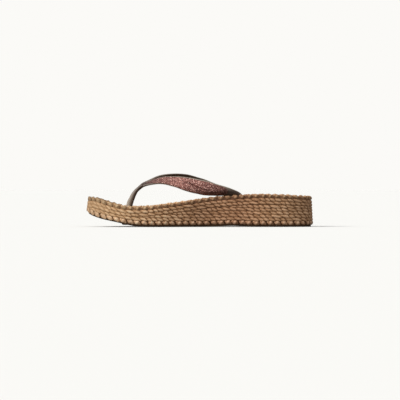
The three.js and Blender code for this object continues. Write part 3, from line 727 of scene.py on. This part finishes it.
def arm_stations(share, rows, setback, side):
    """Centres, directions and half sizes of an arm. side is 1 for the outer arm and -1 for the inner
    one. The face turns from flat at the fork to upright at the end by the table's lean."""
    end_x = SOLE_LENGTH / 2 - plan_middle[0] - setback
    places = np.linspace(0 if side > 0 else 1, 0.5, END_SEARCH_STEPS)
    side_x = outline(places)[0][:, 0]
    at, outward = outline(np.interp(-end_x, -side_x, places))
    end_y = (at - END_INSET * outward)[1]
    end_x = (at - END_INSET * outward)[0]

    def foot_at(x):
        return footbed_middle(x) + FOOTBED_CUP * (x - post_x) / (end_x - post_x)

    x = post_x + rows[:, 0] * (end_x - post_x)
    points = np.column_stack([
        x, post_y + rows[:, 1] * (end_y - post_y), foot_at(x) + rows[:, 2] * INSTEP_RISE])
    foot = foot_at(end_x)
    points = np.vstack([
        points,
        (end_x - END_LENGTH / 3, end_y, foot + END_LENGTH / 10),
        (end_x, end_y, foot - END_LENGTH),
        (end_x, end_y, foot - END_DEPTH)])
    end_row = (0, 0, 0, END_LENGTH / ARM_WIDTH, END_WIDTH / ARM_THICKNESS, 90)
    table = spaced(np.vstack([rows, end_row, end_row, end_row]))
    travel = travel_along(points, share)
    lean = np.radians(read_rows(table, share, 6))[:, None]
    level = across_travel(travel, np.array([0, side, 0.0]))
    upright = np.cross(travel, level) * side
    face = upright * np.cos(lean) + level * np.sin(lean)
    return (through(points, share), np.cross(face, travel), face,
            read_rows(table, share, 4) * ARM_WIDTH / 2, read_rows(table, share, 5) * ARM_THICKNESS / 2)


def face_height(across):
    """Height of the section's face, as a share of its half thickness: a flattened oval."""
    return (1 - np.abs(across) ** (2 / OVAL_ACROSS)) ** (OVAL_LIFT / 2)


def crease(x, across):
    """Bend of the inner arm's face, in millimetres along its face direction. The arm has been folded
    on a line that runs down and back over its face, then along it and up to its rear end: a soft
    trough lies on the line's first part with a low ridge above it, and what is below the line is
    tucked under, a little at the front and steeply at the rear."""
    line = np.interp(x, FOLD[:, 0], FOLD[:, 1])
    tuck = np.interp(x, FOLD[:, 0], FOLD[:, 2])
    trough = np.interp(x, FOLD[:, 0], FOLD[:, 3])
    below = (line - across) * ARM_WIDTH / 2
    ridge = RIDGE_HEIGHT * np.exp(-((below + RIDGE_PLACE) / RIDGE_REACH) ** 2)
    groove = -TROUGH_DEPTH * np.exp(-(below / TROUGH_REACH) ** 2) + ridge
    under = np.sqrt(np.clip(below, 0, FOLD_REACH) ** 2 + FOLD_ROUND ** 2) - FOLD_ROUND
    return trough * groove - tuck * under


def section_rings(stations, size, bend=None, lip=0, sharp=0, undercut=0):
    """Rings of a flattened oval, a superellipse, carried along the stations. The lip is a low ridge
    just inside the upper edge of the face, and bend moves the whole section along its face direction.
    A sharp section has higher powers, which turn the oval towards a lozenge with rounded corners.
    An undercut draws the underside in, as a share of the width, so that the edges face down."""
    centre, wide, face, half_width, half_thick = stations
    turn = (np.arange(size) * 2 * np.pi / size)[None, :]
    cos, sin = np.cos(turn), np.sin(turn)
    across = np.sign(cos) * np.abs(cos) ** (OVAL_ACROSS + 0.35 * sharp) + 0 * half_width[:, None]
    across = across * (1 - undercut * np.clip(-sin, 0, 1) ** 0.8)
    lift = np.sign(sin) * np.abs(sin) ** (OVAL_LIFT + 0.7 * sharp) * half_thick[:, None]
    inward = (1 - across) * half_width[:, None]
    ridge = np.clip(sin, 0, 1) ** 0.2 * np.exp(-((inward - LIP_INSET) / LIP_WIDTH) ** 2)
    lift = lift + lip * ridge * (half_width[:, None] > LIP_LEAST_HALF)
    if bend is not None:
        lift = lift + bend(centre[:, :1], across)
    return (centre[:, None] + wide[:, None] * (across * half_width[:, None])[..., None]
            + face[:, None] * lift[..., None])


arm_share = np.linspace(0, 1, ARM_STEPS)
post = closed_rings("post", section_rings(post_stations(np.linspace(0, 1, POST_STEPS)), POST_ROUND, sharp=1))
arm_inner = closed_rings("arm_inner", section_rings(
    arm_stations(arm_share, INNER_ARM, INNER_END_SETBACK, -1), ARM_ROUND,
    bend=crease, lip=LIP_RELIEF, undercut=ARM_UNDERCUT))
arm_outer = closed_rings("arm_outer", section_rings(
    arm_stations(arm_share, OUTER_ARM, OUTER_END_SETBACK, 1), ARM_ROUND,
    lip=LIP_RELIEF, undercut=ARM_UNDERCUT))
plug_turn = np.arange(PLUG_ROUND) * 2 * np.pi / PLUG_ROUND
plug_rows = np.array([(0.1, PLUG_RECESS + 0.02), (0.94, PLUG_RECESS), (1, PLUG_RECESS + 0.4),
                      (1, PLUG_RECESS + PLUG_THICKNESS), (0.3, PLUG_RECESS + PLUG_THICKNESS + 0.1)])
plug_rings = np.stack([
    np.stack([post_x + r * PLUG_DIAMETER / 2 * np.cos(plug_turn),
              post_y + r * PLUG_DIAMETER / 2 * np.sin(plug_turn), np.full(PLUG_ROUND, z)], axis=-1)
    for r, z in plug_rows])
plug = closed_rings("plug", plug_rings)
stem_levels = (PLUG_RECESS + 1, footbed_middle(post_x))
stem_rings = np.stack([
    np.stack([post_x + POST_LENGTH / 2 * np.cos(plug_turn),
              post_y + POST_WIDTH / 2 * np.sin(plug_turn), np.full(PLUG_ROUND, z)], axis=-1)
    for z in stem_levels])
stem = closed_rings("stem", stem_rings)


def moulded(name, parts, voxel):
    """Parts moulded as one: joined, skinned afresh with even faces, and smoothed where they meet."""
    for other in bpy.context.view_layer.objects:
        other.select_set(other in parts)
    bpy.context.view_layer.objects.active = parts[0]
    bpy.ops.object.join()
    whole = parts[0]
    whole.name = name
    whole.data.name = name
    skin = whole.modifiers.new("skin", "REMESH")
    skin.mode = "VOXEL"
    skin.voxel_size = voxel * MM
    soften = whole.modifiers.new("soften", "SMOOTH")
    soften.factor = STRAP_SOFTENING
    soften.iterations = STRAP_SOFTEN_TURNS
    evaluated = whole.evaluated_get(bpy.context.evaluated_depsgraph_get())
    mesh = bpy.data.meshes.new_from_object(evaluated)
    whole.modifiers.clear()
    whole.data = mesh
    mesh.name = name
    mesh.shade_smooth()
    return whole


strap = moulded("strap_rubber_body", [post, arm_inner, arm_outer, plug, stem], STRAP_VOXEL)


def paint_strap_shade(obj):
    """Keeps how much painted shade the rubber gets, 0 to 1: it grows as the surface faces down or back,
    and round the fork and the inner arm's rear it falls off as a bell curve."""
    count = len(obj.data.vertices)
    normals, places = np.empty(count * 3, dtype=np.float32), np.empty(count * 3, dtype=np.float32)
    obj.data.vertices.foreach_get("normal", normals)
    obj.data.vertices.foreach_get("co", places)
    normals, places = normals.reshape(-1, 3), places.reshape(-1, 3) / MM
    shaded_spots = np.array([FORK_SHADE_PLACE, REAR_SHADE_PLACE])
    fork, rear = arm_stations(shaded_spots, INNER_ARM, INNER_END_SETBACK, -1)[0]
    fork_shade = FORK_SHADE * np.exp(-(np.linalg.norm(places - fork, axis=1) / FORK_SHADE_REACH) ** 2)
    rear_shade = REAR_SHADE * np.exp(-(np.linalg.norm(places - rear, axis=1) / REAR_SHADE_REACH) ** 2)
    facing = np.clip(BACK_SHADE * normals[:, 0] - UNDER_SHADE * normals[:, 2] + rear_shade, 0, 1)
    layer = obj.data.attributes.new("underside", "FLOAT", "POINT")
    layer.data.foreach_set("value", np.maximum(facing, fork_shade))


paint_strap_shade(strap)

# Painted shade: the faces that look down or back, and the spots round the fork and the inner arm's rear, are
# coloured darker and browner.
strap_rubber, tree, shader, place = new_material("strap_rubber")
patch = add(tree, "TexNoise", {"Vector": place, "Scale": 70, "Detail": 4}).outputs["Fac"]
taupe_tone = ramp(tree, patch, [(0.3, "#8a7d6e"), (0.7, "#a79884")])
# The mould's fine slanted lines, about 0.3 mm apart, drawn 1.7 mm apart so that they show.
lines_place = add(tree, "Mapping", {"Vector": place, "Rotation": (0, 0.9, 0)}).outputs["Vector"]
lines = add(tree, "TexWave", {
    "Vector": lines_place, "Scale": 180, "Distortion": 1.5, "Detail": 2}).outputs["Fac"]
hatch = add(tree, "Math", {0: lines, 1: 0.3, 2: 0.8}, operation="MULTIPLY_ADD").outputs["Value"]
hatched = add(tree, "VectorMath", {0: taupe_tone, "Scale": hatch}, operation="SCALE").outputs["Vector"]
under = add(tree, "Attribute", attribute_name="underside").outputs["Fac"]
tint = add(
    tree, "Mix", {"Factor": under, "A": hatched, "B": linear("#4a392d")}, data_type="RGBA").outputs["Result"]
grain = add(tree, "TexNoise", {"Vector": place, "Scale": 1600, "Detail": 3}).outputs["Fac"]
surface = add(tree, "Math", {0: lines, 1: 0.8, 2: grain}, operation="MULTIPLY_ADD").outputs["Value"]
relief = add(tree, "Bump", {"Height": surface, "Strength": 0.45, "Distance": 0.0003})
tree.links.new(tint, shader.inputs["Base Color"])
tree.links.new(relief.outputs["Normal"], shader.inputs["Normal"])
shader.inputs["Roughness"].default_value = 0.5
shader.inputs["IOR"].default_value = 1.5
strap.data.materials.append(strap_rubber)
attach(strap, "root")
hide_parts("strap")

# Glitter panels. A sheet of rose-bronze glitter film laid on the face of each arm, below its lip.
# It is pointed at the fork and rounded at its rear end, and follows the crease of the inner arm.
PANEL_BORDER = 1.2
PANEL_LOWER_BORDER = 0.5
PANEL_LIFT = 0.12
PANEL_THICKNESS = 0.35
PANEL_START = 0.09
PANEL_END = 0.72
PANEL_POINT = 0.13
PANEL_ROUND = 0.045
PANEL_RUNGS = 260
PANEL_STEPS = 61
PANEL_TIP_HALF = 0.15
PANEL_SUNK = 0.2


def glitter_panel(name, rows, setback, side, bend):
    """A sheet over an arm's face: rings with a top and an underside, each following the face's height
    over the arm. Its half width grows with the root of the way from the fork, and ends in a circle."""
    rungs = np.sin(np.linspace(0, np.pi / 2, PANEL_RUNGS)) ** 1.5
    share = PANEL_END - (PANEL_END - PANEL_START) * (1 - rungs)
    centre, wide, face, half_width, half_thick = (
        part[..., None, :] if part.ndim > 1 else part[:, None]
        for part in arm_stations(share, rows, setback, side))
    from_start = np.clip((share - PANEL_START) / PANEL_POINT, 0, 1)[:, None]
    from_end = np.clip((PANEL_END - share) / PANEL_ROUND, 0, 1)[:, None]
    step = np.linspace(1, -1, PANEL_STEPS)[None, :]
    border = np.where(step > 0, PANEL_BORDER, PANEL_LOWER_BORDER)
    half = np.sqrt(from_start) * (half_width - border) * np.sqrt(1 - (1 - from_end) ** 2)
    half = np.maximum(half, PANEL_TIP_HALF)
    across = half * step / half_width
    base = face_height(across) * half_thick + (bend(centre[..., 0], across) if bend else 0)
    top = base + PANEL_LIFT + PANEL_THICKNESS * (1 - np.abs(step) ** 14)
    under = base - PANEL_SUNK

    def sheet(across_part, lift):
        return centre + wide * (across_part * half_width)[..., None] + face * lift[..., None]

    rings = np.concatenate([sheet(across, top), sheet(across[:, ::-1], under[:, ::-1])], axis=1)
    obj = closed_rings(name, rings)
    obj.data.materials.append(glitter)
    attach(obj, "root")
    return obj


# Glitter film: flakes of coloured foil in a clear coat, each tilted its own way. Real flakes are 0.2
# to 0.4 mm; they are drawn at 0.75 mm, with a finer set over them, so that they show.
glitter, tree, shader, place = new_material("glitter_film")
flakes = add(tree, "TexVoronoi", {"Vector": place, "Scale": 1350})
fine = add(tree, "TexVoronoi", {"Vector": place, "Scale": 2600})
spread = add(tree, "SeparateColor", {"Color": flakes.outputs["Color"]})
flake_tint = ramp(tree, spread.outputs["Red"], [
    (0.0, "#5c3932"), (0.5, "#87564d"), (0.8, "#a97768"), (1.0, "#dcb3a5")])
patch = add(tree, "TexNoise", {"Vector": place, "Scale": 60, "Detail": 3}).outputs["Fac"]
shade = add(tree, "Math", {0: patch, 1: 0.5, 2: 0.75}, operation="MULTIPLY_ADD").outputs["Value"]
# Painted shade: the film is coloured darker towards both ends of the panel, most at the fork.
forward = add(tree, "SeparateXYZ", {"Vector": place}).outputs["X"]
near_fork = add(tree, "MapRange", {
    "Value": forward, "From Min": -0.062, "From Max": -0.028, "To Min": 0.2}).outputs["Result"]
near_end = add(tree, "MapRange", {
    "Value": forward, "From Min": 0.0, "From Max": 0.035, "To Min": 1.0, "To Max": 0.45}).outputs["Result"]
painted_end_shade = add(tree, "Math", {0: near_fork, 1: near_end}, operation="MULTIPLY").outputs["Value"]
shade = add(tree, "Math", {0: shade, 1: painted_end_shade}, operation="MULTIPLY").outputs["Value"]
mixed = add(tree, "VectorMath", {0: flake_tint, "Scale": shade}, operation="SCALE").outputs["Vector"]
tilt = add(tree, "VectorMath", {0: flakes.outputs["Color"], 1: fine.outputs["Color"]}, operation="ADD")
tilted = add(tree, "SeparateXYZ", {"Vector": tilt.outputs["Vector"]})
relief = add(tree, "Bump", {"Height": tilted.outputs["Y"], "Strength": 0.5, "Distance": 0.0003})
tree.links.new(mixed, shader.inputs["Base Color"])
tree.links.new(relief.outputs["Normal"], shader.inputs["Normal"])
shader.inputs["Metallic"].default_value = 0.75
shader.inputs["Roughness"].default_value = 0.42
shader.inputs["Coat Weight"].default_value = 0.1

panel_inner = glitter_panel("panel_inner", INNER_ARM, INNER_END_SETBACK, -1, crease)
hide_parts("panel_medial")
panel_outer = glitter_panel("panel_outer", OUTER_ARM, OUTER_END_SETBACK, 1, None)
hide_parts("panel_lateral")

# Studio. A pale floor that runs out to the same tone as the backdrop, soft light from above the toe
# on the inner side, and a long lens near the floor, as in a catalogue's side view.
FLOOR_SIZE = 60.0
VIEW_DISTANCE = 3.0
VIEW_HEIGHT = 0.045
AIM_HEIGHT = 0.0297
FRAME_WIDTH = 0.4484
SENSOR_WIDTH = 36
BACKDROP = "#fbfaf7"
floor_mesh = bpy.data.meshes.new("floor")
reach = FLOOR_SIZE / 2
corners = [(-reach, -reach, 0), (reach, -reach, 0), (reach, reach, 0), (-reach, reach, 0)]
floor_mesh.from_pydata(corners, [], [(0, 1, 2, 3)])
floor = bpy.data.objects.new("floor", floor_mesh)
bpy.context.scene.collection.objects.link(floor)

# Matte paper. Part of its tone is its own, so that the contact shadow stays soft, and it throws back
# little light, as a paper does that stands a good way below the shoe's lamps.
paper = bpy.data.materials.new("paper")
paper.use_nodes = True
tree = paper.node_tree
tree.nodes.clear()
direct = add(tree, "LightPath").outputs["Is Camera Ray"]
matte = add(tree, "BsdfDiffuse", {"Color": linear("#d6d5d0")})
glow = add(tree, "Emission", {"Color": linear(BACKDROP), "Strength": 0.12})
lit = add(tree, "AddShader", {0: matte.outputs["BSDF"], 1: glow.outputs["Emission"]})
dim = add(tree, "BsdfDiffuse", {"Color": linear("#7c7b78")})
either = add(tree, "MixShader", {0: direct, 1: dim.outputs["BSDF"], 2: lit.outputs["Shader"]})
add(tree, "OutputMaterial", {"Surface": either.outputs["Shader"]})
floor.data.materials.append(paper)

world = bpy.data.worlds.new("studio")
bpy.context.scene.world = world
world.use_nodes = True
tree = world.node_tree
tree.nodes.clear()
seen = add(tree, "Background", {"Color": linear(BACKDROP), "Strength": 1.0})
fill = add(tree, "Background", {"Color": linear("#f6f8ff"), "Strength": 0.41})
direct = add(tree, "LightPath").outputs["Is Camera Ray"]
either = add(tree, "MixShader", {0: direct, 1: fill.outputs["Background"], 2: seen.outputs["Background"]})
add(tree, "OutputWorld", {"Surface": either.outputs["Shader"]})


def soft_sun(name, towards, strength, spread):
    """A broad light from far away. towards is the direction from the shoe to the light, and spread is
    the width of the light in degrees."""
    light = bpy.data.lights.new(name, "SUN")
    light.energy = strength
    light.angle = np.radians(spread)
    lamp = bpy.data.objects.new(name, light)
    ahead = np.array(towards, float) / np.linalg.norm(towards)
    lamp.rotation_euler = (np.arccos(ahead[2]), 0, np.arctan2(ahead[1], ahead[0]) + np.pi / 2)
    bpy.context.scene.collection.objects.link(lamp)


soft_sun("key", (-0.93, -0.3, 0.75), strength=3.3, spread=40)
soft_sun("top", (0.0, -0.1, 1.0), strength=0.75, spread=80)

camera_data = bpy.data.cameras.new("camera")
camera_data.sensor_width = SENSOR_WIDTH
camera_data.lens = SENSOR_WIDTH * VIEW_DISTANCE / FRAME_WIDTH
camera_data.clip_end = 200
camera = bpy.data.objects.new("camera", camera_data)
camera.location = (0, -VIEW_DISTANCE, VIEW_HEIGHT)
camera.rotation_euler = (np.pi / 2 - np.arctan2(VIEW_HEIGHT - AIM_HEIGHT, VIEW_DISTANCE), 0, 0)
bpy.context.scene.collection.objects.link(camera)
bpy.context.scene.camera = camera
bpy.context.scene.view_settings.view_transform = "Standard"
